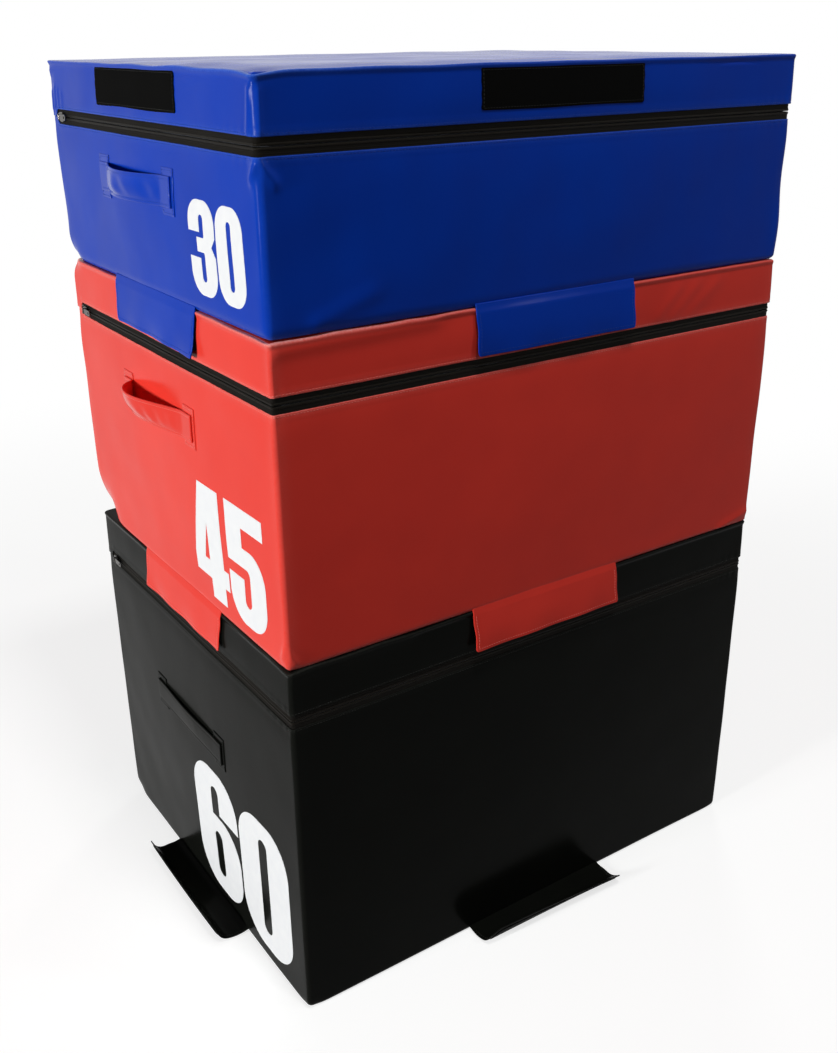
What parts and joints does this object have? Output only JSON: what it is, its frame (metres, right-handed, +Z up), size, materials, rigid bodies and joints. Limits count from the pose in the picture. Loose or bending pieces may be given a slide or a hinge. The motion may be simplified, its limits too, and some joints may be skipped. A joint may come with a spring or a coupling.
{
  "type": "soft plyo box set",
  "caption": "Stack of soft plyometric jump boxes: foam blocks in zipped vinyl covers with strap handles, height numerals and hook-and-loop flaps that hold each box to the one below.",
  "frame": {"origin": "centre of the bottom face of the lowest box, on the floor", "axes": "+Z up through the stack, -Y out of the broad front face, -X out of the numbered end"},
  "size_m": [1.0148, 0.8148, 1.35],
  "materials": {
    "blue_vinyl": "satin",
    "red_vinyl": "satin",
    "black_vinyl": "satin",
    "foam": "matte",
    "zip_tape": "matte",
    "zip_metal": "satin",
    "loop_pile": "matte",
    "hook_tape": "matte",
    "white_print": "matte"
  },
  "bodies": {
    "black_tub": {"black_foam_core": "foam", "black_cover_tub": "black_vinyl", "black_zip_lower": "zip_tape", "black_left_handle": "black_vinyl", "black_right_handle": "black_vinyl", "black_handle_anchors": "black_vinyl", "black_numerals": "white_print"},
    "black_lid": {"black_cover_lid": "black_vinyl", "black_zip_upper": "zip_tape", "black_loop_patches": "loop_pile"},
    "black_slider": {"black_zip_slider": "zip_metal"},
    "black_pull": {"black_zip_pull": "zip_metal"},
    "black_front_flap": {"black_front_flap": "black_vinyl", "black_front_flap_hooks": "hook_tape"},
    "black_back_flap": {"black_back_flap": "black_vinyl", "black_back_flap_hooks": "hook_tape"},
    "black_left_flap": {"black_left_flap": "black_vinyl", "black_left_flap_hooks": "hook_tape"},
    "black_right_flap": {"black_right_flap": "black_vinyl", "black_right_flap_hooks": "hook_tape"},
    "red_tub": {"red_foam_core": "foam", "red_cover_tub": "red_vinyl", "red_zip_lower": "zip_tape", "red_left_handle": "red_vinyl", "red_right_handle": "red_vinyl", "red_handle_anchors": "red_vinyl", "red_numerals": "white_print"},
    "red_lid": {"red_cover_lid": "red_vinyl", "red_zip_upper": "zip_tape", "red_loop_patches": "loop_pile"},
    "red_slider": {"red_zip_slider": "zip_metal"},
    "red_pull": {"red_zip_pull": "zip_metal"},
    "red_front_flap": {"red_front_flap": "red_vinyl", "red_front_flap_hooks": "hook_tape"},
    "red_back_flap": {"red_back_flap": "red_vinyl", "red_back_flap_hooks": "hook_tape"},
    "red_left_flap": {"red_left_flap": "red_vinyl", "red_left_flap_hooks": "hook_tape"},
    "red_right_flap": {"red_right_flap": "red_vinyl", "red_right_flap_hooks": "hook_tape"},
    "blue_tub": {"blue_foam_core": "foam", "blue_cover_tub": "blue_vinyl", "blue_zip_lower": "zip_tape", "blue_left_handle": "blue_vinyl", "blue_right_handle": "blue_vinyl", "blue_handle_anchors": "blue_vinyl", "blue_numerals": "white_print"},
    "blue_lid": {"blue_cover_lid": "blue_vinyl", "blue_zip_upper": "zip_tape", "blue_loop_patches": "loop_pile"},
    "blue_slider": {"blue_zip_slider": "zip_metal"},
    "blue_pull": {"blue_zip_pull": "zip_metal"},
    "blue_front_flap": {"blue_front_flap": "blue_vinyl", "blue_front_flap_hooks": "hook_tape"},
    "blue_back_flap": {"blue_back_flap": "blue_vinyl", "blue_back_flap_hooks": "hook_tape"},
    "blue_left_flap": {"blue_left_flap": "blue_vinyl", "blue_left_flap_hooks": "hook_tape"},
    "blue_right_flap": {"blue_right_flap": "blue_vinyl", "blue_right_flap_hooks": "hook_tape"}
  },
  "joints": [
    {"name": "black_lid_hinge", "type": "hinge", "parent": "black_tub", "child": "black_lid", "pos_m": [0, 0.35, 0.52], "axis": [-1, 0, 0], "range_deg": [0, 100]},
    {"name": "black_zip_travel", "type": "slide", "parent": "black_tub", "child": "black_slider", "axis": [0, -1, 0], "range_m": [0, 0.615]},
    {"name": "black_pull_swing", "type": "hinge", "parent": "black_slider", "child": "black_pull", "pos_m": [-0.4537, 0.305, 0.52], "axis": [0, 0, -1], "range_deg": [0, 175]},
    {"name": "black_front_flap_hinge", "type": "hinge", "parent": "black_tub", "child": "black_front_flap", "pos_m": [0, -0.3504, 0.004], "axis": [-1, 0, 0], "range_deg": [-90, 65]},
    {"name": "black_back_flap_hinge", "type": "hinge", "parent": "black_tub", "child": "black_back_flap", "pos_m": [0, 0.3504, 0.004], "axis": [1, 0, 0], "range_deg": [-90, 65]},
    {"name": "black_left_flap_hinge", "type": "hinge", "parent": "black_tub", "child": "black_left_flap", "pos_m": [-0.4504, 0, 0.004], "axis": [0, 1, 0], "range_deg": [-90, 65]},
    {"name": "black_right_flap_hinge", "type": "hinge", "parent": "black_tub", "child": "black_right_flap", "pos_m": [0.4504, 0, 0.004], "axis": [0, -1, 0], "range_deg": [-90, 65]},
    {"name": "red_lift", "type": "slide", "parent": "black_lid", "child": "red_tub", "axis": [0, 0, 1], "range_m": [0, 0.15]},
    {"name": "red_lid_hinge", "type": "hinge", "parent": "red_tub", "child": "red_lid", "pos_m": [0, 0.35, 0.97], "axis": [-1, 0, 0], "range_deg": [0, 100]},
    {"name": "red_zip_travel", "type": "slide", "parent": "red_tub", "child": "red_slider", "axis": [0, -1, 0], "range_m": [0, 0.615]},
    {"name": "red_pull_swing", "type": "hinge", "parent": "red_slider", "child": "red_pull", "pos_m": [-0.4537, 0.305, 0.97], "axis": [0, 0, -1], "range_deg": [0, 175]},
    {"name": "red_front_flap_hinge", "type": "hinge", "parent": "red_tub", "child": "red_front_flap", "pos_m": [0, -0.3504, 0.604], "axis": [-1, 0, 0], "range_deg": [0, 150]},
    {"name": "red_back_flap_hinge", "type": "hinge", "parent": "red_tub", "child": "red_back_flap", "pos_m": [0, 0.3504, 0.604], "axis": [1, 0, 0], "range_deg": [0, 150]},
    {"name": "red_left_flap_hinge", "type": "hinge", "parent": "red_tub", "child": "red_left_flap", "pos_m": [-0.4504, 0, 0.604], "axis": [0, 1, 0], "range_deg": [0, 150]},
    {"name": "red_right_flap_hinge", "type": "hinge", "parent": "red_tub", "child": "red_right_flap", "pos_m": [0.4504, 0, 0.604], "axis": [0, -1, 0], "range_deg": [0, 150]},
    {"name": "blue_lift", "type": "slide", "parent": "red_lid", "child": "blue_tub", "axis": [0, 0, 1], "range_m": [0, 0.15]},
    {"name": "blue_lid_hinge", "type": "hinge", "parent": "blue_tub", "child": "blue_lid", "pos_m": [0, 0.35, 1.27], "axis": [-1, 0, 0], "range_deg": [0, 100]},
    {"name": "blue_zip_travel", "type": "slide", "parent": "blue_tub", "child": "blue_slider", "axis": [0, -1, 0], "range_m": [0, 0.615]},
    {"name": "blue_pull_swing", "type": "hinge", "parent": "blue_slider", "child": "blue_pull", "pos_m": [-0.4537, 0.305, 1.27], "axis": [0, 0, -1], "range_deg": [0, 175]},
    {"name": "blue_front_flap_hinge", "type": "hinge", "parent": "blue_tub", "child": "blue_front_flap", "pos_m": [0, -0.3504, 1.054], "axis": [-1, 0, 0], "range_deg": [0, 150]},
    {"name": "blue_back_flap_hinge", "type": "hinge", "parent": "blue_tub", "child": "blue_back_flap", "pos_m": [0, 0.3504, 1.054], "axis": [1, 0, 0], "range_deg": [0, 150]},
    {"name": "blue_left_flap_hinge", "type": "hinge", "parent": "blue_tub", "child": "blue_left_flap", "pos_m": [-0.4504, 0, 1.054], "axis": [0, 1, 0], "range_deg": [0, 150]},
    {"name": "blue_right_flap_hinge", "type": "hinge", "parent": "blue_tub", "child": "blue_right_flap", "pos_m": [0.4504, 0, 1.054], "axis": [0, -1, 0], "range_deg": [0, 150]}
  ]
}
